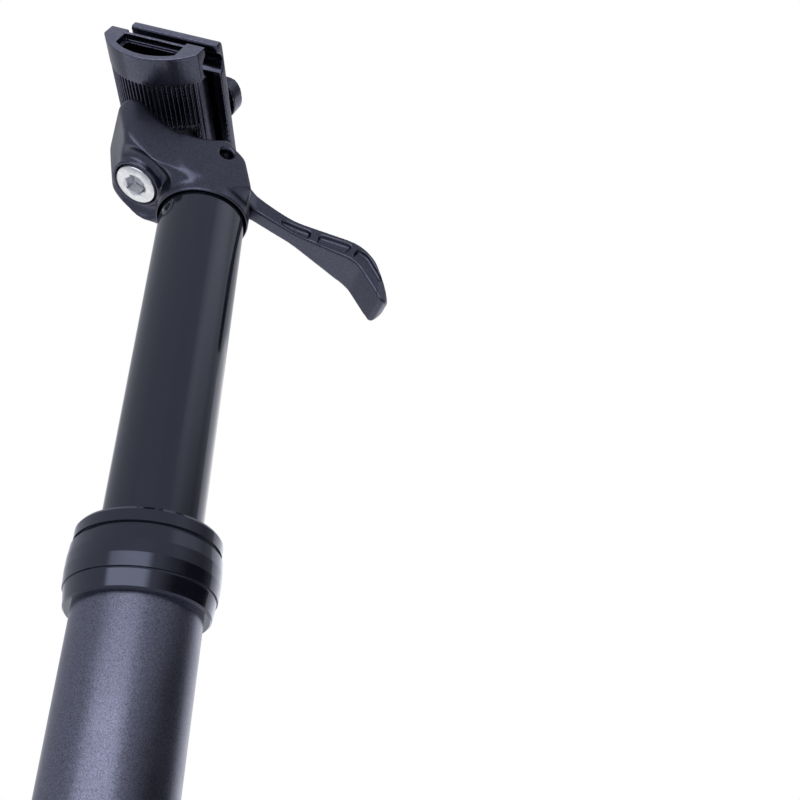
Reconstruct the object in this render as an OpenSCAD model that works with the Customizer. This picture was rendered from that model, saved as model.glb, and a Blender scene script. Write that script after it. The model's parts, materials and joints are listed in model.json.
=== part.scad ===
// Dropper seatpost with a lever under the saddle clamp.
// The post stands up: +Z runs along it, +X points to the front, and the origin lies on its axis at the
// lower end of the outer tube. The clamp is drawn loosened: lifted along its bolt and turned a little.

/* [Outer tube] */
// Outside diameter of the outer tube, which fits the frame
outer_d = 30.9; // [30.4:0.1:31.6]
// Wall of the outer tube
outer_wall = 1.5; // [1.3:0.1:1.7]
// Length of the outer tube below the collar
outer_len = 216; // [200:1:260]
// Length of the outer tube inside the collar
tube_in_collar = 14; // [12:0.5:15]
// How far the outer tube is turned down inside the collar
tube_step = 0.3; // [0.2:0.05:0.4]
// Width of a guide key
key_w = 4; // [3:0.5:5]
// Length of a guide key
key_len = 20; // [14:1:24]
// Depth of the keyways in the outer tube's wall
keyway_depth = 0.6; // [0.4:0.1:0.8]
// Depth of the key pockets in the stanchion's wall
key_seat = 1; // [0.7:0.1:1.2]
// Number of guide keys
key_count = 3; // [2:1:4]

/* [Stanchion] */
// Outside diameter of the stanchion
stanchion_d = 25; // [24.6:0.1:25.4]
// Wall of the stanchion
stanchion_wall = 1.75; // [1.5:0.05:2]
// Drop of the saddle
travel = 100; // [75:5:120]
// Gap between collar and head at full drop
end_gap = 3.6; // [2:0.1:6]
// Length of the stanchion inside the head
head_socket = 6.5; // [5:0.5:7]

/* [Collar] */
// Height of the collar
collar_h = 20.4; // [19.5:0.1:24]
// Largest diameter of the collar
collar_d = 37; // [36:0.1:38]
// Diameter of the collar's lower edge
collar_low_d = 34.7; // [34.2:0.1:35.2]
// Diameter of the collar's top ring
collar_ring_d = 35.8; // [35:0.1:36]
// Height of the tapered band at the collar's foot
collar_foot_h = 5; // [4:0.1:6]
// Height of the collar's main band
collar_band_h = 10.1; // [9:0.1:10.5]
// Width of the groove under the top ring
collar_groove_w = 1.4; // [1:0.1:2]
// Depth of the groove under the top ring
collar_groove_depth = 0.7; // [0.4:0.1:1]
// Height of the wiper seal
wiper_h = 4.6; // [3.5:0.1:4.8]
// Radial thickness of the wiper seal
wiper_t = 2; // [1.6:0.1:2.2]
// Length of the upper bush
upper_bush_len = 30; // [20:1:35]
// Length of the lower bush
lower_bush_len = 20; // [14:1:22]

/* [Head] */
// Radius of the head's neck
neck_r = 13.7; // [13.4:0.1:14.2]
// Radius of the flare between neck and ears
flare_r = 5; // [4:0.5:6]
// Width of the head
head_w = 27; // [26:0.2:28]
// How far the head reaches to the rear of the post's axis
head_rear = 31.4; // [30.8:0.2:32]
// Height of the head's rear lip above the rim
head_rear_h = 31.6; // [31:0.2:32]
// How far the head reaches to the front at the rim
head_front = 13.2; // [12.8:0.1:13.6]
// Height of the ears above the rim
ear_h = 23; // [22:0.2:24]
// Height of the raised panel on each ear
panel_h = 0.6; // [0.3:0.1:0.8]
// Radius of the head's rear corners seen from above
rear_corner_r = 9; // [7:0.5:10]
// Radius of the scoops under the head's sides
scoop_r = 7; // [6.5:0.1:7.4]
// Radius of the bolt boss
boss_r = 7.9; // [7.7:0.1:8.2]
// Radius of the channel round the bolt boss
channel_r = 2.8; // [2.4:0.1:3]
// Distance from the bolt's axis to the head's lower rear edge
rear_foot = 5.4; // [5:0.1:6]
// How far the bolt boss stands below the head's underside
boss_proud = 0.5; // [0.3:0.1:0.8]
// Width of the relief round the stanchion in the head's mouth
mouth_gap = 0.5; // [0.3:0.1:0.7]
// Depth of that relief
mouth_depth = 1.2; // [0.8:0.1:2]
// Length of the spigot inside the stanchion
spigot_len = 18; // [14:1:22]

/* [Saddle clamp] */
// Lean of the clamp bolt from the post's axis
bolt_tilt = 22; // [20:1:24]
// Distance of the bolt head's face behind the post's axis
bolt_back = 20.9; // [20:0.1:22]
// Height of the bolt head's face above the rim
bolt_rise = 7.5; // [6.5:0.1:8.5]
// Diameter of the clamp bolt
bolt_d = 8; // [7:0.5:8]
// Diameter of the bolt's head
bolt_head_d = 13; // [12:0.1:13.4]
// Height of the bolt's head
bolt_head_h = 8; // [6:0.5:8]
// Width across the flats of the bolt's socket
bolt_socket = 6; // [5:0.5:6]
// Thickness of the washer under the bolt's head
washer_t = 1; // [0.8:0.1:1.4]
// Distance from the bolt head's face to the trough along the bolt
trough_depth = 16; // [15:0.5:18]
// Radius of the lower clamp's round side
cradle_r = 19.8; // [19.4:0.2:20.6]
// Length of the lower clamp along the rails
cradle_w = 32; // [31:0.2:33]
// Width of the clamps across the rails
clamp_span = 56; // [54:0.5:60]
// Width of the smooth band at each end of the lower clamp
band_w = 9; // [7:0.5:10]
// Depth of the ribs on the lower clamp
rib_depth = 0.8; // [0.5:0.1:0.9]
// Angle from one rib to the next
rib_step = 4.2; // [3:0.2:5]
// Depth of the pocket in each end of the lower clamp
end_pocket_depth = 14; // [10:1:16]
// Depth of the D-shaped recess around that pocket
end_recess_depth = 2; // [1:0.1:2.2]
// Wall under the pocket in each end of the lower clamp
end_pocket_wall = 2.2; // [1.8:0.1:2.4]
// Wall over the pocket in each end of the lower clamp
end_roof = 1; // [0.8:0.1:1.2]
// Height of the upright walls over the lower clamp's round side
cradle_wall_h = 4.4; // [3.6:0.1:4.6]
// Length of the rail pads at the front and rear of the lower clamp
pad_l = 6; // [5:0.2:7]
// Height of the rail pads above the floor between them
pad_h = 1.2; // [0.8:0.1:1.5]
// Diameter of a saddle rail
rail_d = 7; // [7:0.1:7.2]
// Distance between the saddle rails
rail_gauge = 44; // [43:0.5:45]
// Gap between the clamps when they hold a rail
rail_gap = 2; // [1.6:0.1:2.4]
// Length of the upper clamp along the rails
upper_len = 29.6; // [28:0.2:32]
// How far the upper clamp's middle lies behind the bolt
upper_back = 3; // [0:0.5:3]
// Height of the upper clamp
upper_h = 10.5; // [10.2:0.1:11]
// Height of the upper clamp at its ends
upper_end_h = 3; // [2.8:0.1:3.4]
// How far the upper clamp's front and rear lean in to its top
upper_slope = 5; // [4:0.2:6]
// Radius of the rocker bar's barrel
barrel_r = 3.8; // [3.6:0.1:3.9]
// Length of the rocker bar's barrel
barrel_l = 13; // [12:0.5:13]
// Length of the rocker bar along the rails
bar_len = 15; // [14:0.5:17]
// Width of the rocker bar across the rails
bar_w = 13.4; // [13.2:0.2:15]
// Radius of the rocker bar's corners seen from above
bar_corner_r = 5.5; // [3:0.5:6]
// Thickness of the rocker bar
bar_t = 5.5; // [5:0.1:6.5]
// Diameter of the threaded nut in the rocker bar
nut_d = 10.4; // [10:0.1:10.8]
// Thickness of the rocker bar under the nut
nut_floor = 1; // [0.8:0.1:1.5]
// Tilt of the clamp from square to the bolt, with the front up
saddle_tilt = -1.5; // [-4:0.5:8]
// Largest tilt of the clamp either way
tilt_limit = 9; // [6:1:10]
// Turn of the loosened clamp about its bolt
clamp_turn = 23; // [0:1:23]
// Lift of the loosened clamp along its bolt
clamp_lift = 6; // [5.5:0.1:7]
// Slip of the loosened lower clamp to the rear
cradle_slip = 7; // [6:0.5:7.5]

/* [Lever] */
// Distance of the lever's pin in front of the post's axis
pin_x = 2.6; // [2:0.1:3.2]
// Height of the lever's pin above the rim
pin_h = 17.4; // [17:0.1:18]
// Diameter of the lever's pin
pin_d = 4; // [3.5:0.1:4.2]
// Distance from the pin's ends to the head's sides
pin_recess = 5; // [4:0.1:5.5]
// Width of the lever in the head
lever_w = 8.6; // [8:0.1:9]
// Width of the lever's arm
arm_w = 5; // [4.6:0.1:5.6]
// Width of the lever's paddle
paddle_w = 12; // [11:0.5:14]
// How far the lever reaches in front of the post's axis
lever_reach = 58.8; // [57:0.2:62]
// How far the lever's tip hangs below the rim
lever_drop = 17; // [16:0.2:18]
// Depth of the pockets in the lever's sides
lever_pocket = 1.2; // [0.8:0.1:1.4]
// Radius of the lever's hub
hub_r = 4.2; // [3.9:0.1:4.3]
// Distance from the pin to the adjuster screw that works the valve
valve_arm = 4.4; // [4:0.1:4.8]
// Wall of the lever's bush
lever_bush_t = 0.8; // [0.6:0.1:1]

/* [Cartridge] */
// Outside diameter of the cartridge tube
cartridge_d = 19; // [18:0.1:19.2]
// Wall of the cartridge tube
cartridge_wall = 1.5; // [1.2:0.1:1.8]
// Diameter of the cartridge rod
rod_d = 9; // [8:0.5:10]
// Height of the piston
piston_h = 12; // [10:0.5:16]
// Height of the top-out bumper on the rod
topout_h = 8.5; // [6:0.5:12]
// Height of the bottom bumper on the rod
bumper_h = 14.4; // [8:0.1:20]
// Thickness of the gland's flange under the stanchion
gland_flange = 4; // [3:0.5:6]
// Height of the gland inside the stanchion
gland_h = 15; // [12:0.5:20]
// Height of the gland's floor under the cartridge tube
gland_floor_h = 6; // [5:0.5:8]
// Height of the bottom cap
cap_h = 14; // [12:0.5:18]
// Distance of the bottom cap from the outer tube's end
cap_inset = 2; // [1:0.5:4]
// Diameter of the valve pin
valve_d = 4; // [3:0.5:4.5]
// Diameter of the valve pin's button
valve_button_d = 6; // [5:0.5:6.5]

/* [Fits] */
// Radial clearance of sliding and turning fits
run_gap = 0.06; // [0.03:0.01:0.09]
// Radial clearance of pieces that stay seated
seat_gap = 0.03; // [0.02:0.01:0.05]
// Clearance of pieces that pass each other freely
free_gap = 0.3; // [0.25:0.05:0.4]

/* [Hidden] */
$fn = 64;

// Cut pieces run this far past the faces that they cut
cut = 1;

// Levels along the post
tube_top = outer_len + tube_in_collar;
collar_top = outer_len + collar_h;
rim = collar_top + end_gap + travel;
cap_top = cap_inset + cap_h;
bumper_top = cap_top + bumper_h;
gland_low = bumper_top + 2 * free_gap + travel;
stanchion_low = gland_low + gland_flange;
stanchion_top = rim + head_socket;
stanchion_r = stanchion_d / 2;
stanchion_in = stanchion_r - stanchion_wall;
outer_r = outer_d / 2;
outer_in = outer_r - outer_wall;

// The gland closes the stanchion's foot and holds the cartridge tube's lower end
gland_floor = stanchion_low + gland_floor_h;
gland_top = stanchion_low + gland_h;
cartridge_r = cartridge_d / 2;
cartridge_in = cartridge_r - cartridge_wall;
cartridge_top = rim - 2;
rod_r = rod_d / 2;
rod_low = cap_inset + cap_h / 2;
piston_low = gland_floor + topout_h + 2 * free_gap;
rod_top = piston_low + piston_h;
valve_r = valve_d / 2;

// The keys sit above the lower bush
bush_low = stanchion_low + 2;
key_low = bush_low + lower_bush_len + 1;
key_out = outer_in + keyway_depth - 2 * run_gap;

// Points of the head in the plane of symmetry, with z above the rim
bolt_dir = [sin(bolt_tilt), cos(bolt_tilt)];
face_dir = [cos(bolt_tilt), -sin(bolt_tilt)];
bolt_face = [-bolt_back, bolt_rise];
rear_low = bolt_face + bolt_dir * boss_proud - face_dir * rear_foot;
boss_front = bolt_face + bolt_dir * boss_proud + face_dir * boss_r;
trough_r = cradle_r + free_gap;
axis_s = trough_depth + trough_r;
lip_inner = [-bolt_back + 2.4, head_rear_h - 4];
ear_top = [pin_x - 0.4, ear_h];
ear_front = [pin_x + 5.8, pin_h - 0.2];
slot_floor = head_socket + 0.8;
slot_half = lever_w / 2 + free_gap;
nose_x = pin_x - valve_arm;
valve_top = pin_h - 4.4;

// The clamps are drawn about the trough's axis, with z square to the rails
cradle_corner = -sqrt(cradle_r * cradle_r - cradle_w * cradle_w / 4);
cradle_top = cradle_corner + cradle_wall_h;
rail_z = cradle_top + rail_gap / 2;
upper_low = cradle_top + rail_gap;
upper_top = upper_low + upper_h;
bar_low = upper_top + bar_len / 2 * sin(tilt_limit) + free_gap;
half_span = clamp_span / 2;
bolt_r = bolt_d / 2;
slot_w = bolt_d + 2 * free_gap;
slot_reach = cradle_slip - 1;

function unit(v) = v / norm(v);

function polar(r, a) = r * [cos(a), sin(a)];

// Points of an arc about o from angle a0 to a1
function arc(o, r, a0, a1, n) = [for (i = [0:n]) o + polar(r, a0 + (a1 - a0) * i / n)];

// The arc that rounds corner b, between a and c, to radius r
function corner(a, b, c, r, n) =
    let (u = unit(a - b), v = unit(c - b), half = acos(u * v) / 2)
    let (o = b + unit(u + v) * r / sin(half))
    let (p = b + u * r / tan(half) - o, q = b + v * r / tan(half) - o)
    let (a0 = atan2(p[1], p[0]), turn = atan2(p[0] * q[1] - p[1] * q[0], p * q))
    arc(o, r, a0, a0 + turn, n);

// A closed outline through points [x, y, corner radius]
function rounded(pts, n = 6) =
    let (k = len(pts), xy = [for (p = pts) [p[0], p[1]]])
    [for (i = [0:k - 1]) each pts[i][2] > 0
        ? corner(xy[(i + k - 1) % k], xy[i], xy[(i + 1) % k], pts[i][2], n)
        : [xy[i]]];

module ring(r_out, r_in, z0, z1) {
    difference() {
        translate([0, 0, z0])
            cylinder(r = r_out, h = z1 - z0);
        translate([0, 0, z0 - cut])
            cylinder(r = r_in, h = z1 - z0 + 2 * cut);
    }
}

// An outline in x and z, drawn across the post from -y to y
module across(outline, y) {
    translate([0, y, 0])
        rotate([90, 0, 0])
            linear_extrude(2 * y)
                polygon(outline);
}

// An outline in y and z, drawn along x from -x to x
module along(outline, x) {
    translate([-x, 0, 0])
        rotate([90, 0, 90])
            linear_extrude(2 * x)
                polygon(outline);
}

module above_rim() {
    translate([0, 0, rim])
        children();
}

// Frame at the bolt head's face, with z along the bolt
module on_bolt() {
    above_rim()
        translate([-bolt_back, 0, bolt_rise])
            rotate([0, bolt_tilt, 0])
                children();
}

// Frame at the loosened clamp's axis on the bolt
module on_clamp_axis(turned = true) {
    on_bolt()
        translate([0, 0, axis_s + clamp_lift])
            rotate([0, 0, turned ? -clamp_turn : 0])
                children();
}

// Frame of the clamps, tilted with the saddle
module on_clamp() {
    on_clamp_axis()
        rotate([0, -saddle_tilt, 0])
            children();
}

module each_key() {
    for (i = [0:key_count - 1])
        rotate([0, 0, 180 + 360 / key_count * i])
            children();
}

module outer_tube() {
    chamfer = 0.6;
    color("#1d1e22")
        difference() {
            ring(outer_r, outer_in, 0, tube_top);
            ring(outer_r + cut, outer_r - tube_step, outer_len - seat_gap, tube_top + cut);
            each_key()
                translate([0, -key_w / 2 - run_gap, stanchion_low - travel])
                    cube([outer_in + keyway_depth, key_w + 2 * run_gap, tube_top]);
            translate([0, 0, tube_top - chamfer])
                cylinder(r1 = outer_in, r2 = outer_in + 2 * chamfer, h = 2 * chamfer);
        }
}

module collar() {
    foot_z = collar_foot_h;
    band_z = foot_z + collar_band_h;
    ring_z = band_z + collar_groove_w;
    seat_z = tube_in_collar + seat_gap;
    lip_z = seat_z + wiper_h + 2 * seat_gap;
    band_r = collar_d / 2;
    low_r = collar_low_d / 2;
    ring_r = collar_ring_d / 2;
    groove_r = ring_r - collar_groove_depth;
    seal_r = stanchion_r + run_gap + wiper_t + seat_gap;
    foot_r = (low_r + band_r) / 2;
    bore_r = outer_r - tube_step + seat_gap;
    crown = 0.25;
    bevel = 0.5;
    profile = concat(
        [[bore_r, 0], [low_r - bevel, 0], [low_r, bevel], [foot_r, foot_z - bevel]],
        [[foot_r, foot_z], [band_r - crown, foot_z], [band_r, foot_z + collar_band_h / 3]],
        [[band_r, band_z - collar_band_h / 3], [band_r - crown, band_z], [groove_r, band_z]],
        [[groove_r, ring_z], [ring_r, ring_z], [ring_r, collar_h - 2 * bevel]],
        [[ring_r - bevel, collar_h - bevel / 2], [ring_r - 3 * bevel, collar_h]],
        [[stanchion_r + free_gap, collar_h], [stanchion_r + free_gap, lip_z], [seal_r, lip_z]],
        [[seal_r, seat_z], [bore_r, seat_z]]);
    color("#101114")
        translate([0, 0, outer_len])
            rotate_extrude()
                polygon(profile);
}

module wiper_seal() {
    low = tube_top + seat_gap;
    in_r = stanchion_r + run_gap;
    color("#0c0c0d")
        difference() {
            ring(in_r + wiper_t, in_r, low, low + wiper_h);
            translate([0, 0, low + wiper_h / 3])
                ring(in_r + wiper_t / 3, 0, 0, wiper_h / 3);
        }
}

module upper_bush() {
    color("#3b3b38")
        ring(outer_in - seat_gap, stanchion_r + run_gap, tube_top - upper_bush_len, tube_top);
}

module bottom_cap() {
    color("#2a2b2f")
        difference() {
            translate([0, 0, cap_inset])
                cylinder(r = outer_in - seat_gap, h = cap_h);
            translate([0, 0, rod_low])
                cylinder(r = rod_r + seat_gap, h = cap_h);
            cylinder(r = rod_bolt_r + run_gap, h = cap_h);
            cylinder(r = rod_head_r + free_gap, h = cap_inset + rod_head_h);
        }
}

// The bolt that holds the rod in the bottom cap
rod_bolt_r = 2.5;
rod_head_r = 4.25;
rod_head_h = 4;
rod_bolt_depth = 12;

module rod_bolt() {
    head_low = cap_inset + seat_gap;
    color("#9a9ca0")
        difference() {
            union() {
                translate([0, 0, head_low])
                    cylinder(r = rod_head_r, h = rod_head_h - 2 * seat_gap);
                translate([0, 0, head_low])
                    cylinder(r = rod_bolt_r, h = rod_low + rod_bolt_depth - head_low);
            }
            translate([0, 0, head_low - cut])
                cylinder(r = rod_bolt_r, h = cut + rod_head_h / 2, $fn = 6);
        }
}

module cartridge_rod() {
    color("#b9bbbf")
        difference() {
            translate([0, 0, rod_low])
                cylinder(r = rod_r, h = rod_top - rod_low);
            translate([0, 0, rod_low - cut])
                cylinder(r = rod_bolt_r + seat_gap, h = cut + rod_bolt_depth + cut);
        }
}

ring_groove = 0.9;
piston_ring_h = 2;
piston_ring_z = piston_low + piston_h / 2;

module piston() {
    r = cartridge_in - run_gap;
    color("#c8a24a")
        difference() {
            ring(r, rod_r + seat_gap, piston_low, rod_top);
            ring(r + cut, r - ring_groove, piston_ring_z - seat_gap, piston_ring_z + piston_ring_h + seat_gap);
        }
}

module piston_ring() {
    r = cartridge_in - run_gap;
    color("#0c0c0d")
        ring(r, r - ring_groove + seat_gap, piston_ring_z, piston_ring_z + piston_ring_h);
}

module topout_bumper() {
    color("#7a1f1c")
        ring(cartridge_in - 2 * free_gap, rod_r + seat_gap, piston_low - topout_h, piston_low);
}

module bottom_bumper() {
    color("#7a1f1c")
        ring(outer_in - 2 * free_gap - keyway_depth, rod_r + seat_gap, cap_top, bumper_top);
}

module stanchion() {
    bevel = 0.5;
    color("#0b0b0d")
        difference() {
            ring(stanchion_r, stanchion_in, stanchion_low, stanchion_top);
            each_key()
                translate([stanchion_r - key_seat, -key_w / 2 - seat_gap, key_low - seat_gap])
                    cube([key_seat + cut, key_w + 2 * seat_gap, key_len + 2 * seat_gap]);
            difference() {
                ring(stanchion_r + cut, stanchion_r - bevel, stanchion_low - cut, stanchion_low + bevel);
                translate([0, 0, stanchion_low])
                    cylinder(r1 = stanchion_r - bevel, r2 = stanchion_r, h = bevel);
            }
        }
}

module guide_keys() {
    low_r = stanchion_r - key_seat + seat_gap;
    color("#b48a3c")
        each_key()
            translate([low_r, -key_w / 2, key_low])
                cube([key_out - low_r, key_w, key_len]);
}

module lower_bush() {
    color("#3b3b38")
        ring(outer_in - run_gap, stanchion_r + seat_gap, bush_low, bush_low + lower_bush_len);
}

seal_h = 2.4;
seal_t = 1.8;
seal_z = stanchion_low + 1;

module cartridge_gland() {
    color("#6d7076")
        difference() {
            union() {
                translate([0, 0, gland_low])
                    cylinder(r = outer_in - 2 * free_gap - keyway_depth, h = gland_flange);
                translate([0, 0, gland_low])
                    cylinder(r = stanchion_in - seat_gap, h = gland_top - gland_low);
            }
            translate([0, 0, gland_low - cut])
                cylinder(r = rod_r + run_gap, h = gland_top);
            translate([0, 0, gland_floor])
                cylinder(r = cartridge_r + seat_gap, h = gland_top);
            ring(rod_r + run_gap + seal_t + seat_gap, 0, seal_z - seat_gap, seal_z + seal_h + seat_gap);
        }
}

module rod_seal() {
    color("#0c0c0d")
        ring(rod_r + run_gap + seal_t, rod_r + run_gap, seal_z, seal_z + seal_h);
}

module cartridge_tube() {
    color("#8d9096")
        ring(cartridge_r, cartridge_in, gland_floor, cartridge_top);
}

cap_plug = 10;
cap_flange = 3;

module cartridge_cap() {
    color("#6d7076")
        difference() {
            union() {
                translate([0, 0, cartridge_top - cap_plug])
                    cylinder(r = cartridge_in - seat_gap, h = cap_plug);
                translate([0, 0, cartridge_top])
                    cylinder(r = cartridge_r, h = cap_flange);
            }
            translate([0, 0, cartridge_top - cap_plug - cut])
                cylinder(r = valve_r + run_gap, h = cap_plug + cap_flange + 2 * cut);
        }
}

module valve_pin() {
    button_h = 1.6;
    color("#c8cacd")
        above_rim() {
            translate([0, 0, cartridge_top - cap_plug - rim])
                cylinder(r = valve_r, h = rim + valve_top - cartridge_top + cap_plug);
            translate([0, 0, valve_top - button_h])
                cylinder(r = valve_button_d / 2, h = button_h);
        }
}

// The head's side outline, closed over the trough
head_outline = rounded([
    [-head_rear, head_rear_h, 2.5],
    [rear_low[0], rear_low[1], 3.5],
    [boss_front[0], boss_front[1], 0],
    [-neck_r + 1, 0, 0],
    [head_front, 0, 0],
    [ear_front[0], ear_front[1], 4],
    [ear_top[0], ear_top[1], 3],
    [lip_inner[0], lip_inner[1], 0]]);

// The raised panel on each ear
panel_outline = rounded([
    [ear_top[0] - 13.4, ear_h + cut, 0],
    [ear_top[0] - 12.6, pin_h - 11, 5],
    [head_front + cut, slot_floor - 4, 0],
    [head_front + cut, ear_h + cut, 0]]);

// The head's outline from above
head_plan = rounded([
    [-head_rear, -head_w / 2, rear_corner_r], [head_front + 5, -head_w / 2, 0],
    [head_front + 5, head_w / 2, 0], [-head_rear, head_w / 2, rear_corner_r]]);

// Centre and radius of the arc that the scoops follow under the head's sides
scoop_centre = [2, head_rear_h + 3.9];
scoop_path_r = 41.8;

module flare() {
    top = head_rear_h + 20;
    wide = head_rear + 20;
    rotate_extrude()
        polygon(concat([[0, 0], [neck_r - 0.5, 0]], arc([neck_r + flare_r - 0.5, 1], flare_r, 180, 90, 8),
                       [[wide, 1 + flare_r], [wide, top], [0, top]]));
}

module scoops() {
    for (side = [-1, 1])
        translate([scoop_centre[0], side * (head_w / 2 + 1), scoop_centre[1]])
            rotate([90, 0, 0])
                rotate_extrude()
                    translate([scoop_path_r, 0])
                        circle(r = scoop_r);
}

module boss_channel() {
    translate([-bolt_back, 0, bolt_rise])
        rotate([0, bolt_tilt, 0])
            rotate_extrude()
                translate([boss_r + 0.75 * channel_r, boss_proud])
                    circle(r = channel_r);
}

module lever_slot() {
    rear = nose_x - 3.6;
    across([[rear, slot_floor], [head_front + 5, slot_floor], [head_front + 5, ear_h + 5],
            [rear, ear_h + 5]], slot_half);
}

module seat_head() {
    color("#2a2b31")
        difference() {
            union() {
                above_rim() {
                    difference() {
                        intersection() {
                            across(head_outline, head_w / 2 - panel_h);
                            linear_extrude(2 * head_rear_h)
                                polygon(head_plan);
                            flare();
                        }
                        scoops();
                        boss_channel();
                    }
                    intersection() {
                        across(head_outline, head_w / 2);
                        across(panel_outline, head_w);
                        flare();
                    }
                    cylinder(r = neck_r, h = pin_h - 4);
                }
                on_bolt()
                    cylinder(r = boss_r, h = trough_depth);
                translate([0, 0, rim - spigot_len])
                    cylinder(r = stanchion_in - seat_gap, h = spigot_len + head_socket);
            }
            on_bolt() {
                translate([0, 0, axis_s])
                    rotate([90, 0, 0])
                        cylinder(r = trough_r, h = head_w + 2 * cut, center = true);
                translate([0, 0, -cut])
                    cylinder(r = bolt_head_d / 2 + free_gap, h = cut + bolt_head_h + washer_t + seat_gap);
                cylinder(r = bolt_r + free_gap, h = trough_depth + cut);
            }
            above_rim() {
                lever_slot();
                translate([pin_x, 0, pin_h])
                    rotate([90, 0, 0])
                        cylinder(r = pin_d / 2 + seat_gap, h = head_w + 2 * cut, center = true);
                translate([0, 0, -spigot_len - cut])
                    cylinder(r = cartridge_r + seat_gap, h = spigot_len + cut + cap_flange + seat_gap - 2);
                cylinder(r = valve_r + free_gap, h = slot_floor + cut);
            }
            ring(stanchion_r + seat_gap, stanchion_in - seat_gap, rim - cut, stanchion_top + seat_gap);
            ring(stanchion_r + mouth_gap, stanchion_r, rim - cut, rim + mouth_depth);
        }
}

module pivot_pin() {
    color("#8a8c90")
        above_rim()
            translate([pin_x, 0, pin_h])
                rotate([90, 0, 0])
                    cylinder(r = pin_d / 2, h = head_w - 2 * pin_recess, center = true);
}

module clamp_bolt() {
    bevel = 0.8;
    shank_end = axis_s + clamp_lift + bar_low + bar_t - free_gap;
    r = bolt_head_d / 2;
    color("#d9dbde")
        on_bolt()
            difference() {
                rotate_extrude()
                    polygon([[0, 0], [r - bevel, 0], [r, bevel], [r, bolt_head_h], [bolt_r, bolt_head_h],
                             [bolt_r, shank_end - bevel], [bolt_r - bevel, shank_end], [0, shank_end]]);
                translate([0, 0, -cut])
                    cylinder(d = bolt_socket / cos(30), h = cut + bolt_head_h / 2, $fn = 6);
            }
}

module bolt_washer() {
    color("#b5b7ba")
        on_bolt()
            ring(bolt_head_d / 2, bolt_r + seat_gap, bolt_head_h, bolt_head_h + washer_t);
}

module clamp_nut() {
    color("#a9abaf")
        on_clamp_axis(turned = false)
            ring(nut_d / 2, bolt_r + run_gap, bar_low + nut_floor, bar_low + bar_t);
}

module rocker_washer() {
    end = bar_len / 2;
    side = bar_w / 2;
    bar_top = bar_low + bar_t;
    bar = rounded([[-side, bar_low, 0.6], [side, bar_low, 0.6], [side, bar_top, 2.2], [-side, bar_top, 2.2]]);
    plan = rounded([for (p = [[-end, -side], [end, -side], [end, side], [-end, side]])
        [p[0], p[1], bar_corner_r]]);
    stem = 2 * (barrel_r - upper_top * tan(tilt_limit)) - free_gap;
    color("#202125")
        on_clamp_axis()
            difference() {
                union() {
                    intersection() {
                        along(bar, bar_len);
                        linear_extrude(2 * bar_top)
                            polygon(plan);
                    }
                    rotate([90, 0, 0])
                        cylinder(r = barrel_r, h = barrel_l, center = true);
                    translate([-stem / 2, -barrel_l / 2, 0])
                        cube([stem, barrel_l, bar_low + nut_floor / 2]);
                }
                cylinder(r = bolt_r + free_gap, h = 4 * cradle_r, center = true);
                translate([0, 0, bar_low + nut_floor])
                    cylinder(r = nut_d / 2 + run_gap, h = bar_t);
            }
}

// The lower clamp's side outline, with its round side made of ribs or smooth
cradle_half = asin(cradle_w / 2 / cradle_r);

function cradle_round(r) =
    concat([[-cradle_w / 2, cradle_top]], arc([0, 0], r, -90 - cradle_half, -90 + cradle_half, 24),
           [[cradle_w / 2, cradle_top]]);

function cradle_ribs(tip, root) =
    let (n = floor((2 * cradle_half - 3) / rib_step), a = -90 - n * rib_step / 2)
    concat([[-cradle_w / 2 + rib_depth, cradle_top], [-cradle_w / 2 + rib_depth, cradle_corner]],
           [for (i = [0:n - 1]) each [
               polar(tip, a + rib_step * (i + 0.15)), polar(tip, a + rib_step * (i + 0.5)),
               polar(root, a + rib_step * (i + 0.65)), polar(root, a + rib_step * (i + 1))]],
           [[cradle_w / 2 - rib_depth, cradle_corner], [cradle_w / 2 - rib_depth, cradle_top]]);

// A recess in an end of the lower clamp, following its round side
function end_recess(top, half) =
    let (r = cradle_r - end_pocket_wall, a = asin(half / r))
    concat(arc([0, 0], r, -90 - a, -90 + a, 12), [[half, top], [-half, top]]);

module cradle_solid() {
    floor_w = cradle_w / 2 - pad_l;
    difference() {
        union() {
            across(cradle_ribs(cradle_r - 0.1, cradle_r - rib_depth), half_span - band_w);
            for (side = [-1, 1])
                translate([0, side * (half_span - band_w / 2), 0])
                    across(cradle_round(cradle_r), band_w / 2);
        }
        translate([-floor_w, -half_span - cut, cradle_top - pad_h])
            cube([2 * floor_w, clamp_span + 2 * cut, pad_h + cut]);
    }
}

module lower_clamp() {
    groove_low = rail_z - rail_d / 2;
    recess = end_recess(cradle_top - pad_h - end_roof, cradle_w / 2 - pad_l);
    pocket = end_recess(groove_low - end_roof, cradle_w / 2 - pad_l - end_roof);
    slot_l = bolt_r + cradle_r * tan(tilt_limit) + free_gap;
    color("#34353b")
        on_clamp()
            translate([-cradle_slip, 0, 0])
                difference() {
                    cradle_solid();
                    for (side = [-1, 1]) {
                        translate([0, side * half_span, 0]) {
                            across(recess, end_recess_depth);
                            across(pocket, end_pocket_depth);
                        }
                        translate([0, side * rail_gauge / 2, rail_z])
                            rotate([0, 90, 0])
                                cylinder(d = rail_d, h = cradle_w + 2, center = true);
                    }
                    translate([-slot_l, -slot_w / 2, -2 * cradle_r])
                        cube([2 * slot_l + slot_reach, slot_w, 2 * cradle_r]);
                }
}

// The arched top of the upper clamp
arch_drop = upper_h - upper_end_h;
arch_r = (half_span * half_span + arch_drop * arch_drop) / 2 / arch_drop;
arch_half = asin((half_span - 1) / arch_r);
function upper_pocket(y0, y1) =
    let (low = upper_low + 3.4, roof = 1.8)
    rounded([[y0, low, 0.8], [y1, low, 0.8], [y1, arch_z(y1) - roof, 0.8], [y0, arch_z(y0) - roof, 0.8]], 4);

function arch_z(y) = upper_top - arch_r + sqrt(arch_r * arch_r - y * y);

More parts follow.
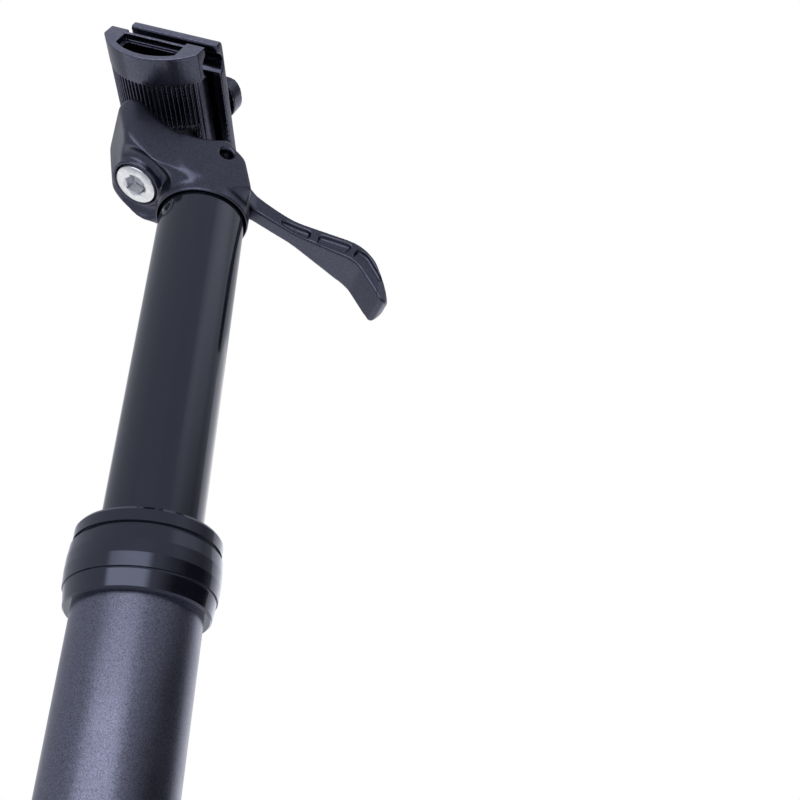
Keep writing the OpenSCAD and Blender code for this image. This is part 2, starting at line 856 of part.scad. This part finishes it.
module upper_clamp() {
    end = arch_z(half_span - 1);
    outline = concat(
        arc([0, upper_top - arch_r], arch_r, 90 - arch_half, 90 + arch_half, 20),
        [[-half_span, end - 1], [-half_span, upper_low + 0.6], [-half_span + 0.6, upper_low]],
        [[half_span - 0.6, upper_low], [half_span, upper_low + 0.6], [half_span, end - 1]]);
    slopes = rounded([
        [upper_len / 2, upper_low - cut, 0], [upper_len / 2, upper_low + upper_end_h, 3],
        [upper_len / 2 - upper_slope, upper_top, 2], [-upper_len / 2 + upper_slope, upper_top, 2],
        [-upper_len / 2, upper_low + upper_end_h, 3], [-upper_len / 2, upper_low - cut, 0]]);
    pockets = [upper_pocket(1.6, 8.4), upper_pocket(12.2, 17.6)];
    pocket_depth = upper_slope + 0.2;
    slot_l = bolt_r - upper_low * tan(tilt_limit) + free_gap;
    groove_r = barrel_r + free_gap;
    groove_l = barrel_l + 2 * free_gap;
    color("#2e2f35")
        on_clamp()
            difference() {
                translate([-upper_back, 0, 0])
                    difference() {
                        intersection() {
                            along(outline, upper_len / 2);
                            across(slopes, clamp_span);
                        }
                        for (side = [-1, 1]) {
                            translate([0, side * rail_gauge / 2, rail_z])
                                rotate([0, 90, 0])
                                    cylinder(d = rail_d, h = upper_len + 2, center = true);
                            for (flip = [0, 1], pocket = pockets)
                                mirror([0, flip, 0])
                                    translate([side * upper_len / 2, 0, 0])
                                        along(pocket, pocket_depth);
                        }
                    }
                rotate([90, 0, 0])
                    cylinder(r = groove_r, h = groove_l, center = true);
                translate([-groove_r, -groove_l / 2, 0])
                    cube([2 * groove_r, groove_l, upper_top + cut]);
                cube([2 * slot_l, slot_w, 4 * cradle_r], center = true);
            }
}

// The lever's side outline, from its hub to the hooked paddle
lever_outline = rounded([
    [pin_x + 1, pin_h + 3.6, 2],
    [23.5, 9.6, 60],
    [lever_reach - 7.3, 1.6, 12],
    [lever_reach, -lever_drop + 2.4, 1.2],
    [lever_reach - 3.1, -lever_drop, 1.2],
    [lever_reach - 11.6, -4.7, 10],
    [22.8, 5, 60],
    [pin_x - 1, pin_h - 3.6, 2]]);

// One side of the lever's outline from above, drawn in by the given amount
function lever_side(inset) = [
    [-20, lever_w / 2 - inset, 0], [11, lever_w / 2 - inset, 4], [15, arm_w / 2 - inset, 4],
    [28, arm_w / 2 - inset, 30], [lever_reach - 14, paddle_w / 2 - inset, 20],
    [lever_reach - inset, paddle_w / 2 - inset, 0.45 * paddle_w - inset]];

function lever_plan(inset) =
    let (one = lever_side(inset), k = len(one) - 1)
    rounded(concat(one, [for (i = [k:-1:0]) [one[i][0], -one[i][1], one[i][2]]]));

// The three pockets along the lever's sides
lever_pockets = [
    rounded([[22.8, 7.8, 0.8], [32.6, 5, 0.8], [32.2, 1.9, 0.8], [23.6, 5.9, 0.8]]),
    rounded([[35.4, 4.2, 0.8], [45.4, 1.6, 0.8], [43.4, -1.6, 0.8], [34.8, 1, 0.8]]),
    rounded([[47.4, 0.8, 0.8], [50.6, -0.6, 3], [55.8, -8.6, 0.8], [53.8, -9.4, 0.8],
             [50, -4.8, 2], [45.6, -2.4, 0.8]])];

module lever() {
    plan_h = 60;
    color("#26272c")
        above_rim()
            difference() {
                union() {
                    intersection() {
                        across(lever_outline, paddle_w);
                        translate([0, 0, -plan_h / 2])
                            linear_extrude(plan_h)
                                polygon(lever_plan(0));
                    }
                    translate([pin_x, 0, pin_h])
                        rotate([90, 0, 0])
                            cylinder(r = hub_r, h = lever_w, center = true);
                    across([[pin_x, pin_h - 2], [pin_x, pin_h + 2.6], [nose_x - 2.6, pin_h + 1.4],
                            [nose_x - 2.6, valve_top + 1.6], [nose_x + 2.6, valve_top + 1.6]], lever_w / 2);
                }
                difference() {
                    for (outline = lever_pockets)
                        across(outline, paddle_w);
                    translate([0, 0, -plan_h / 2])
                        linear_extrude(plan_h)
                            polygon(lever_plan(lever_pocket));
                }
                translate([pin_x, 0, pin_h])
                    rotate([90, 0, 0])
                        cylinder(r = pin_d / 2 + run_gap + lever_bush_t + seat_gap, h = lever_w + 2, center = true);
                translate([nose_x, 0, valve_top])
                    cylinder(r = adjuster_r + seat_gap, h = 12);
            }
}

module lever_bush() {
    r = pin_d / 2 + run_gap;
    color("#b48a3c")
        above_rim()
            translate([pin_x, 0, pin_h])
                rotate([90, 0, 0])
                    difference() {
                        cylinder(r = r + lever_bush_t, h = lever_w, center = true);
                        cylinder(r = r, h = lever_w + 2, center = true);
                    }
}

adjuster_r = 1.5;

module adjuster_screw() {
    low = valve_top + free_gap;
    color("#9a9ca0")
        above_rim()
            translate([nose_x, 0, low])
                difference() {
                    cylinder(r = adjuster_r, h = 5);
                    translate([0, 0, 3])
                        cylinder(r = adjuster_r / 2, h = 3, $fn = 6);
                }
}

outer_tube();
collar();
wiper_seal();
upper_bush();
bottom_cap();
rod_bolt();
cartridge_rod();
piston();
piston_ring();
topout_bumper();
bottom_bumper();
stanchion();
seat_head();
cartridge_tube();
cartridge_cap();
cartridge_gland();
rod_seal();
lower_bush();
guide_keys();
pivot_pin();
clamp_bolt();
bolt_washer();
clamp_nut();
rocker_washer();
lower_clamp();
upper_clamp();
lever();
lever_bush();
adjuster_screw();
valve_pin();
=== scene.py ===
"""Looks of a dropper seatpost: its finishes, its rounded forgings, its turned pieces and the studio."""

import json
import math

import bmesh
import bpy
from mathutils import Matrix, Vector


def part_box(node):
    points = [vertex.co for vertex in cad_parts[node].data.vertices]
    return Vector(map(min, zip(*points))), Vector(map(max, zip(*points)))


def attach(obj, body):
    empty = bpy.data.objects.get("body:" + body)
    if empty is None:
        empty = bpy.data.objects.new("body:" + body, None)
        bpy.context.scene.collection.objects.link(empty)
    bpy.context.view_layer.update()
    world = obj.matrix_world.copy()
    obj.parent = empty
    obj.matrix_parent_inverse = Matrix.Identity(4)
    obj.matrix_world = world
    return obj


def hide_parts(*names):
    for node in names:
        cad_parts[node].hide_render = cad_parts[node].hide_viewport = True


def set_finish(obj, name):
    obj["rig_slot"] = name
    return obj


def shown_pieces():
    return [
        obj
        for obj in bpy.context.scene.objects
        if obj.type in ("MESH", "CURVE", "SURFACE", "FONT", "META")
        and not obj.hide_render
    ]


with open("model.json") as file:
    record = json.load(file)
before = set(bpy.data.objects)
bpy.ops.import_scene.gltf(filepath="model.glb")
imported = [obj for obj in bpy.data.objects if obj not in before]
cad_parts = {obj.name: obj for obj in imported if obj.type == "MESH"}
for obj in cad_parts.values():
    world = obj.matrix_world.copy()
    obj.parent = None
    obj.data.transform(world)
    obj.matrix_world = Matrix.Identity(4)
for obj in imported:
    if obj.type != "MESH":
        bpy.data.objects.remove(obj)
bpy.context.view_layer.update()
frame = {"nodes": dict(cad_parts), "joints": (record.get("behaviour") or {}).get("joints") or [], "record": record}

MM = 0.001
nodes = frame["nodes"]
record = frame["record"]
joints = {joint["name"]: joint for joint in frame["joints"]}
slot_of = {part["node"]: part["material_slot"] for part in record["subparts"]}

# Camera, from the photograph's perspective
CAMERA_AT = Vector((-28.1, -248.9, 118.9)) * MM
CAMERA_LOOKS = Vector((0.2907, 0.7831, 0.5498))
CAMERA_UP = Vector((-0.2156, -0.5062, 0.8350))
CAMERA_LENS = 49.2
SENSOR = 36.0

# Pieces with rounded edges: voxel size, smoothing passes and share of faces kept
FORGINGS = {
    "seat_head": (0.32 * MM, 80, 0.4),
    "lever": (0.22 * MM, 40, 0.4),
    "upper_clamp": (0.28 * MM, 10, 0.4),
    "lower_clamp": (0.16 * MM, 10, 0.2),
    "rocker_washer": (0.28 * MM, 6, 0.4),
}
WELD_SHARE = 0.001
SMOOTH_FACTOR = 0.5

# Clamp bolt, M8 with a hexagon socket
BOLT_HEAD_R = 6.5 * MM
BOLT_HEAD_H = 8.0 * MM
BOLT_R = 4.0 * MM
BOLT_BEVEL = 0.8 * MM
SOCKET_FLATS = 6.0 * MM
SOCKET_DEPTH = 4.0 * MM
SOCKET_LEAD = 0.35 * MM
THREAD_PITCH = 1.25 * MM
THREAD_DEPTH = 0.6 * MM
THREAD_LENGTH = 26.0 * MM
THREAD_STEPS = 8

# Pivot pin of the lever
PIN_R = 2.0 * MM
PIN_BEVEL = 0.35 * MM
PIN_DIMPLE_R = 0.9 * MM
PIN_DIMPLE_DEPTH = 0.7 * MM

# Lip of the wiper seal over the collar's mouth
LIP_GAP = 0.06 * MM
LIP_WIDTH = 1.1 * MM
LIP_HEIGHT = 0.7 * MM
LIP_STEPS = 8
LIP_CURVE = 0.7
LIP_FOOT = 0.2

# Light of the room, then of its sides: light, direction, flatness, and where it starts and is full
ROOM = (0.5, 0.51, 0.555)
ROOM_SIDES = (
    ((1.0, 1.0, 1.04), (0.35, 0.94, 0.0), 1, 0.6, 0.95),
    ((0.95, 0.96, 1.02), (0.675, -0.497, 0.545), 1, 0.9, 0.99),
    ((0.008, 0.008, 0.012), (0.95, -0.32, 0.0), 2.2, 0.45, 0.8),
)
# Window beside the camera: its light, then its edges as slopes across and upwards, and their softness
WINDOW = (2.3, 2.34, 2.5)
WINDOW_ACROSS = (-0.85, 0.35)
WINDOW_UP = (-0.3, 0.35)
WINDOW_SOFT = 0.1
WINDOW_NEAREST = 0.05
# Level directions from the post to the camera and to the picture's right
FRONT = Vector((-CAMERA_LOOKS.x, -CAMERA_LOOKS.y, 0)).normalized()
RIGHT = Vector((-FRONT.y, FRONT.x, 0))
UP = Vector((0, 0, 1))

# Lamp on the far side
OBJECT_MIDDLE = Vector((0, 0, 0.26))
LAMP_AT = Vector((0.7, 0.6, 0.5))
LAMP_SIDE = 0.8
LAMP_WATTS = 1

# Floor, and how far behind the post it turns white in the gloss
FLOOR_HALF = 3.0
FLOOR_WHITE = (0.0, 0.3)

# Grain of the finishes, and how far in from the lower clamp's ends the painted highlight on its end faces starts
# and is full
BROAD_GRAIN = 90.0
GRAIN_DEPTH = 0.03 * MM
END_HIGHLIGHT_FROM = 0.12 * MM
END_HIGHLIGHT_FULL = 0.08 * MM

# Tint of the gloss on black anodised pieces
ANODISED = (0.72, 0.76, 1.0, 1.0)

ROUND = 72
SMOOTH_ANGLE = math.radians(32)


def add_piece(name, mesh, body, slot):
    """A new mesh that rides on a body and takes its finish from a slot of the record."""
    piece = bpy.data.objects.new(name, mesh)
    bpy.context.scene.collection.objects.link(piece)
    mesh.polygons.foreach_set("use_smooth", [True] * len(mesh.polygons))
    mesh.set_sharp_from_angle(angle=SMOOTH_ANGLE)
    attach(piece, body)
    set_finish(piece, slot)
    return piece


def lofted(name, loops, ring=False):
    """A mesh through loops of points. A loop of one point closes an end."""
    points = [point for loop in loops for point in loop]
    starts = [sum(len(loop) for loop in loops[:i]) for i in range(len(loops))]
    pairs = list(zip(range(len(loops) - 1), range(1, len(loops))))
    if ring:
        pairs.append((len(loops) - 1, 0))
    faces = []
    for a, b in pairs:
        count_a, count_b = len(loops[a]), len(loops[b])
        for i in range(max(count_a, count_b)):
            corners = [starts[a] + i % count_a, starts[a] + (i + 1) % count_a]
            corners += [starts[b] + (i + 1) % count_b, starts[b] + i % count_b]
            faces.append(list(dict.fromkeys(corners)))
    mesh = bpy.data.meshes.new(name)
    mesh.from_pydata(points, [], faces)
    shape = bmesh.new()
    shape.from_mesh(mesh)
    bmesh.ops.recalc_face_normals(shape, faces=shape.faces)
    shape.to_mesh(mesh)
    shape.free()
    return mesh


def circle(r, z, count=ROUND):
    turn = math.tau / count
    return [Vector((r * math.cos(i * turn), r * math.sin(i * turn), z)) for i in range(count)]


def hexagon(flats, z, count=ROUND):
    """A loop on a hexagon, with as many points as a circle has."""
    points = []
    for i in range(count):
        angle = math.tau * i / count
        from_flat = (angle % (math.tau / 6)) - math.tau / 12
        r = flats / 2 / math.cos(from_flat)
        points.append(Vector((r * math.cos(angle), r * math.sin(angle), z)))
    return points


def point_loop(z):
    return [Vector((0, 0, z))]


def thread_loops(z0, z1):
    """Loops of a screw thread from z0 to z1, running out smoothly at z0."""
    loops = []
    rows = int((z1 - z0) / THREAD_PITCH * THREAD_STEPS)
    for k in range(rows + 1):
        z = z0 + (z1 - z0) * k / rows
        runout = min(1.0, (z - z0) / (2 * THREAD_PITCH))
        loop = []
        for i in range(ROUND):
            angle = math.tau * i / ROUND
            phase = (z / THREAD_PITCH - i / ROUND) % 1.0
            cut = 1 - abs(2 * phase - 1)
            r = BOLT_R - THREAD_DEPTH * runout * cut
            loop.append(Vector((r * math.cos(angle), r * math.sin(angle), z)))
        loops.append(loop)
    return loops


def placed(mesh, at, axis):
    """Moves a mesh drawn about +Z to a point and an axis."""
    turn = UP.rotation_difference(axis).to_matrix().to_4x4()
    mesh.transform(Matrix.Translation(at) @ turn)
    return mesh


def along_axis(node, at, axis):
    """Lowest and highest place of a CAD node along an axis."""
    places = [(vertex.co - at).dot(axis) for vertex in nodes[node].data.vertices]
    return min(places), max(places)


def body_of(node):
    return next(body for body, members in record["behaviour"]["bodies"].items() if node in members)


def add_forging(node, voxel, passes, kept):
    """A CAD node's copy with its edges rounded over, which stands for the node."""
    mesh = nodes[node].data.copy()
    shape = bmesh.new()
    shape.from_mesh(mesh)
    bmesh.ops.remove_doubles(shape, verts=shape.verts, dist=voxel * WELD_SHARE)
    shape.to_mesh(mesh)
    shape.free()
    draft = bpy.data.objects.new(node + "_draft", mesh)
    bpy.context.scene.collection.objects.link(draft)
    remesh = draft.modifiers.new("voxels", "REMESH")
    remesh.mode = "VOXEL"
    remesh.voxel_size = voxel
    smooth = draft.modifiers.new("round", "SMOOTH")
    smooth.factor = SMOOTH_FACTOR
    smooth.iterations = passes
    thin = draft.modifiers.new("thin", "DECIMATE")
    thin.ratio = kept
    bpy.context.view_layer.update()
    made = draft.evaluated_get(bpy.context.evaluated_depsgraph_get())
    rounded = bpy.data.meshes.new_from_object(made)
    bpy.data.objects.remove(draft)
    rounded.name = node + "_forging"
    piece = add_piece(node + "_forging", rounded, body_of(node), slot_of[node])
    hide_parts(node)
    return piece


def add_bolt():
    """The clamp bolt with its socket, bevels and thread."""
    swivel = joints["clamp_swivel"]
    axis = Vector(swivel["axis"]).normalized()
    at = Vector(swivel["pos_m"])
    low, high = along_axis("clamp_bolt", at, axis)
    end = high - low
    loops = [point_loop(SOCKET_DEPTH + SOCKET_FLATS / 6)]
    loops += [hexagon(SOCKET_FLATS, SOCKET_DEPTH), hexagon(SOCKET_FLATS, SOCKET_LEAD)]
    loops += [circle(SOCKET_FLATS / 2 / math.cos(math.pi / 6) + SOCKET_LEAD / 2, 0)]
    loops += [circle(BOLT_HEAD_R - BOLT_BEVEL, 0), circle(BOLT_HEAD_R - BOLT_BEVEL / 3, BOLT_BEVEL / 3)]
    loops += [circle(BOLT_HEAD_R, BOLT_BEVEL), circle(BOLT_HEAD_R, BOLT_HEAD_H)]
    loops += [circle(BOLT_R, BOLT_HEAD_H)]
    loops += thread_loops(end - THREAD_LENGTH, end - BOLT_BEVEL)
    loops += [circle(BOLT_R - BOLT_BEVEL, end), point_loop(end)]
    mesh = placed(lofted("bolt_threaded", loops), at + axis * low, axis)
    piece = add_piece("bolt_threaded", mesh, body_of("clamp_bolt"), slot_of["clamp_bolt"])
    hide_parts("clamp_bolt")


def add_pin():
    """The lever's pivot pin with bevelled and centre-drilled ends."""
    pull = joints["lever_pull"]
    axis = Vector((0, 1, 0))
    at = Vector(pull["pos_m"])
    low, high = along_axis("pivot_pin", at, axis)
    loops = [point_loop(low + PIN_DIMPLE_DEPTH), circle(PIN_DIMPLE_R, low)]
    loops += [circle(PIN_R - PIN_BEVEL, low), circle(PIN_R, low + PIN_BEVEL)]
    loops += [circle(PIN_R, high - PIN_BEVEL), circle(PIN_R - PIN_BEVEL, high)]
    loops += [circle(PIN_DIMPLE_R, high), point_loop(high - PIN_DIMPLE_DEPTH)]
    mesh = placed(lofted("pivot_pin_drilled", loops), at, axis)
    piece = add_piece("pivot_pin_drilled", mesh, body_of("pivot_pin"), slot_of["pivot_pin"])
    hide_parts("pivot_pin")


def add_wiper_lip():
    """The wiper seal's lip, which closes the collar's mouth round the stanchion."""
    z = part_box("collar")[1].z
    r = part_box("stanchion")[1].x + LIP_GAP
    loops = [circle(r, z - LIP_HEIGHT), circle(r, z + LIP_HEIGHT)]
    for i in range(1, LIP_STEPS + 1):
        rise = math.sin(math.pi / 2 * (1 - i / LIP_STEPS))
        loops.append(circle(r + LIP_WIDTH * (1 - rise) ** LIP_CURVE, z + LIP_HEIGHT * rise))
    loops.append(circle(r + LIP_WIDTH * LIP_FOOT, z - LIP_HEIGHT))
    add_piece("wiper_lip", lofted("wiper_lip", loops, ring=True), "outer_post", slot_of["wiper_seal"])


# Finishes

def new_finish(name, **sockets):
    """A material with a shader whose plain values are set on its own sockets."""
    material = bpy.data.materials.new(name)
    material.use_nodes = True
    shader = material.node_tree.nodes["Principled BSDF"]
    for socket, value in sockets.items():
        shader.inputs[socket.replace("_", " ")].default_value = value
    return material, material.node_tree, shader


def surface_point(tree, stretch=(1, 1, 1)):
    """Places on the piece itself, in metres."""
    coordinates = tree.nodes.new("ShaderNodeTexCoord")
    mapping = tree.nodes.new("ShaderNodeMapping")
    mapping.inputs["Scale"].default_value = stretch
    tree.links.new(coordinates.outputs["Object"], mapping.inputs["Vector"])
    return mapping.outputs["Vector"]


def noise(tree, point, scale):
    texture = tree.nodes.new("ShaderNodeTexNoise")
    texture.inputs["Scale"].default_value = scale
    tree.links.new(point, texture.inputs["Vector"])
    return texture.outputs["Fac"]


def between(tree, value, low, high, start=0.3, stop=0.7):
    """A value's range from start to stop, carried over to low to high."""
    scaled = tree.nodes.new("ShaderNodeMapRange")
    scaled.inputs["From Min"].default_value = start
    scaled.inputs["From Max"].default_value = stop
    scaled.inputs["To Min"].default_value = low
    scaled.inputs["To Max"].default_value = high
    tree.links.new(value, scaled.inputs["Value"])
    return scaled.outputs["Result"]


def blended(tree, share, dark, light):
    """Two colours mixed by a share."""
    mix = tree.nodes.new("ShaderNodeMix")
    mix.data_type = "RGBA"
    tree.links.new(share, mix.inputs["Factor"])
    for socket, colour in ((mix.inputs["A"], dark), (mix.inputs["B"], light)):
        if isinstance(colour, tuple):
            socket.default_value = (*colour, 1)
        else:
            tree.links.new(colour, socket)
    return mix.outputs["Result"]


def calculated(tree, operation, *values):
    """One step of arithmetic on plain values or sockets."""
    step = tree.nodes.new("ShaderNodeMath")
    step.operation = operation
    for socket, value in zip(step.inputs, values):
        if isinstance(value, (int, float)):
            socket.default_value = value
        else:
            tree.links.new(value, socket)
    return step.outputs["Value"]


def measured(tree, vector, direction):
    """How far a vector reaches along a direction."""
    reach = tree.nodes.new("ShaderNodeVectorMath")
    reach.operation = "DOT_PRODUCT"
    reach.inputs[1].default_value = direction
    tree.links.new(vector, reach.inputs[0])
    return reach.outputs["Value"]


def bumped(tree, shader, height, strength, depth):
    bump = tree.nodes.new("ShaderNodeBump")
    bump.inputs["Strength"].default_value = strength
    bump.inputs["Distance"].default_value = depth
    tree.links.new(height, bump.inputs["Height"])
    tree.links.new(bump.outputs["Normal"], shader.inputs["Normal"])


def grained(name, dark, light, grain, rough, bump, stretch=(1, 1, 1), **sockets):
    """A finish with a fine grain in its colour and surface, and a broad one in its gloss."""
    material, tree, shader = new_finish(name, **sockets)
    point = surface_point(tree, stretch)
    fine = noise(tree, point, grain)
    broad = noise(tree, surface_point(tree), BROAD_GRAIN)
    colour = blended(tree, between(tree, fine, 0, 1), dark, light)
    tree.links.new(colour, shader.inputs["Base Color"])
    tree.links.new(between(tree, broad, *rough), shader.inputs["Roughness"])
    bumped(tree, shader, fine, bump, GRAIN_DEPTH)
    return material


def clamp_finish():
    """Satin black, with a painted highlight, a paler streaked grey, on the end faces at both sides of the lower
    clamp.
    """
    material = grained("clamp_black", (0.07, 0.072, 0.1), (0.11, 0.113, 0.155), 1700,
                       (0.2, 0.28), 0.08, Metallic=1.0)
    tree = material.node_tree
    shader = tree.nodes["Principled BSDF"]
    tilt = joints["saddle_tilt"]
    across = Vector(tilt["axis"]).normalized()
    middle = Vector(tilt["pos_m"]).dot(across)
    end = along_axis("lower_clamp", Vector(tilt["pos_m"]), across)[1]
    side = calculated(tree, "SUBTRACT", measured(tree, surface_point(tree), across), middle)
    from_middle = calculated(tree, "ABSOLUTE", side)
    # Painted highlight: the end faces at both sides of the lower clamp are painted a paler, streaked grey
    painted_end_highlight = between(tree, from_middle, 0, 1, end - END_HIGHLIGHT_FROM, end - END_HIGHLIGHT_FULL)
    highlight_streaks = noise(tree, surface_point(tree, (1, 1, 6)), 700)
    highlight_colour = blended(tree, between(tree, highlight_streaks, 0, 1), (0.16, 0.165, 0.23), (0.28, 0.29, 0.38))
    black = shader.inputs["Base Color"].links[0].from_socket
    tree.links.new(blended(tree, painted_end_highlight, black, highlight_colour), shader.inputs["Base Color"])
    return material


def make_finishes():
    """The finish of every slot of the record."""
    return {
        "anodised_tube": grained("sand_blasted", (0.1, 0.103, 0.14), (0.23, 0.237, 0.32), 3600,
                                 (0.28, 0.35), 0.4, Metallic=1.0),
        "gloss_black": grained("gloss_black", (0.006, 0.006, 0.009), (0.01, 0.01, 0.015), 900,
                               (0.09, 0.16), 0.05, stretch=(0.15, 0.15, 4), Specular_Tint=ANODISED,
                               Specular_IOR_Level=0.8, Coat_Weight=0.3, Coat_Tint=ANODISED),
        "stanchion_black": grained("stanchion_black", (0.006, 0.0065, 0.01), (0.01, 0.011, 0.016), 420,
                                   (0.07, 0.15), 0.04, stretch=(1, 1, 0.02), Specular_Tint=ANODISED,
                                   Specular_IOR_Level=0.9),
        "forged_black": grained("forged_black", (0.07, 0.072, 0.1), (0.095, 0.098, 0.135), 1500,
                                (0.28, 0.36), 0.08, Metallic=1.0),
        "clamp_black": clamp_finish(),
        "bright_steel": grained("bright_steel", (0.7, 0.71, 0.74), (0.84, 0.85, 0.88), 700,
                                (0.22, 0.36), 0.1, Metallic=1.0),
        "plain_steel": grained("plain_steel", (0.42, 0.42, 0.44), (0.55, 0.55, 0.57), 800,
                               (0.25, 0.38), 0.1, Metallic=1.0),
        "plain_aluminium": grained("turned_aluminium", (0.52, 0.53, 0.55), (0.66, 0.67, 0.69), 900,
                                   (0.25, 0.4), 0.15, stretch=(0.2, 0.2, 3), Metallic=1.0),
        "bronze": grained("bronze", (0.5, 0.36, 0.15), (0.64, 0.48, 0.22), 900,
                          (0.3, 0.45), 0.1, Metallic=1.0),
        "bearing_plastic": grained("bearing_plastic", (0.045, 0.045, 0.042), (0.07, 0.07, 0.064), 1200,
                                   (0.4, 0.55), 0.1),
        "seal_rubber": grained("seal_rubber", (0.009, 0.009, 0.01), (0.015, 0.015, 0.016), 1600,
                               (0.5, 0.65), 0.15),
        "bumper_rubber": grained("bumper_rubber", (0.2, 0.022, 0.02), (0.28, 0.035, 0.03), 1400,
                                 (0.45, 0.6), 0.15),
    }


# Studio

def set_world():
    """White for the camera, and for the gloss a room with a window in front and a dark right side."""
    world = bpy.data.worlds.new("studio")
    bpy.context.scene.world = world
    world.use_nodes = True
    tree = world.node_tree
    room = tree.nodes["Background"]
    output = tree.nodes["World Output"]
    coordinates = tree.nodes.new("ShaderNodeTexCoord")
    ray = coordinates.outputs["Generated"]
    colour = ROOM
    for shade, direction, flat, start, stop in ROOM_SIDES:
        squash = tree.nodes.new("ShaderNodeMapping")
        squash.inputs["Scale"].default_value = (1, 1, flat)
        tree.links.new(ray, squash.inputs["Vector"])
        unit = tree.nodes.new("ShaderNodeVectorMath")
        unit.operation = "NORMALIZE"
        tree.links.new(squash.outputs["Vector"], unit.inputs[0])
        facing = measured(tree, unit.outputs["Vector"], Vector(direction).normalized())
        colour = blended(tree, between(tree, facing, 0, 1, start, stop), colour, shade)
    ahead = measured(tree, ray, FRONT)
    share = calculated(tree, "GREATER_THAN", ahead, WINDOW_NEAREST)
    for direction, (low, high) in ((RIGHT, WINDOW_ACROSS), (UP, WINDOW_UP)):
        slope = calculated(tree, "DIVIDE", measured(tree, ray, direction), ahead)
        for edge, outside, inside in ((low, 0, 1), (high, 1, 0)):
            past_edge = between(tree, slope, outside, inside, edge - WINDOW_SOFT, edge + WINDOW_SOFT)
            share = calculated(tree, "MULTIPLY", share, past_edge)
    colour = blended(tree, share, colour, WINDOW)
    tree.links.new(colour, room.inputs["Color"])
    white = tree.nodes.new("ShaderNodeBackground")
    light_path = tree.nodes.new("ShaderNodeLightPath")
    choose = tree.nodes.new("ShaderNodeMixShader")
    tree.links.new(light_path.outputs["Is Camera Ray"], choose.inputs["Fac"])
    tree.links.new(room.outputs["Background"], choose.inputs[1])
    tree.links.new(white.outputs["Background"], choose.inputs[2])
    white.inputs["Color"].default_value = (1, 1, 1, 1)
    tree.links.new(choose.outputs["Shader"], output.inputs["Surface"])


def add_lamp():
    """A soft square lamp on the far side, which the camera doesn't see."""
    lamp = bpy.data.lights.new("far_side", "AREA")
    lamp.shape = "SQUARE"
    lamp.size = LAMP_SIDE
    lamp.energy = LAMP_WATTS
    holder = bpy.data.objects.new("far_side", lamp)
    holder.location = LAMP_AT
    holder.rotation_euler = (OBJECT_MIDDLE - LAMP_AT).to_track_quat("-Z", "Y").to_euler()
    holder.visible_camera = False
    bpy.context.scene.collection.objects.link(holder)


def add_floor():
    """A pale floor, white for the camera and, behind the post, for the gloss."""
    mesh = bpy.data.meshes.new("floor")
    corners = [(x * FLOOR_HALF, y * FLOOR_HALF, 0) for x, y in ((-1, -1), (1, -1), (1, 1), (-1, 1))]
    mesh.from_pydata(corners, [], [(0, 1, 2, 3)])
    floor = bpy.data.objects.new("floor", mesh)
    bpy.context.scene.collection.objects.link(floor)
    material = grained("floor", (0.86, 0.86, 0.88), (0.9, 0.9, 0.92), 40, (0.7, 0.8), 0.0)
    tree = material.node_tree
    white = tree.nodes.new("ShaderNodeEmission")
    light_path = tree.nodes.new("ShaderNodeLightPath")
    behind = between(tree, measured(tree, surface_point(tree), -FRONT), 0, 1, *FLOOR_WHITE)
    mirrored = calculated(tree, "MULTIPLY", light_path.outputs["Is Glossy Ray"], behind)
    seen = calculated(tree, "MAXIMUM", light_path.outputs["Is Camera Ray"], mirrored)
    choose = tree.nodes.new("ShaderNodeMixShader")
    tree.links.new(seen, choose.inputs["Fac"])
    tree.links.new(tree.nodes["Principled BSDF"].outputs["BSDF"], choose.inputs[1])
    tree.links.new(white.outputs["Emission"], choose.inputs[2])
    tree.links.new(choose.outputs["Shader"], tree.nodes["Material Output"].inputs["Surface"])
    floor.data.materials.append(material)


def add_camera():
    """The photograph's camera."""
    lens = bpy.data.cameras.new("camera")
    lens.lens = CAMERA_LENS
    lens.sensor_width = SENSOR
    lens.clip_start = 0.01
    camera = bpy.data.objects.new("camera", lens)
    looks = CAMERA_LOOKS.normalized()
    right = looks.cross(CAMERA_UP).normalized()
    up = right.cross(looks)
    turn = Matrix((right, up, -looks)).transposed().to_4x4()
    camera.matrix_world = Matrix.Translation(CAMERA_AT) @ turn
    bpy.context.scene.collection.objects.link(camera)
    bpy.context.scene.camera = camera


for node, (voxel, passes, kept) in FORGINGS.items():
    add_forging(node, voxel, passes, kept)
add_bolt()
add_pin()
add_wiper_lip()

finishes = make_finishes()
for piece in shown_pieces():
    slot = piece.get("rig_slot") or slot_of[piece.name]
    piece.data.materials.clear()
    piece.data.materials.append(finishes[slot])

add_floor()
set_world()
add_lamp()
add_camera()
bpy.context.scene.view_settings.view_transform = "Standard"
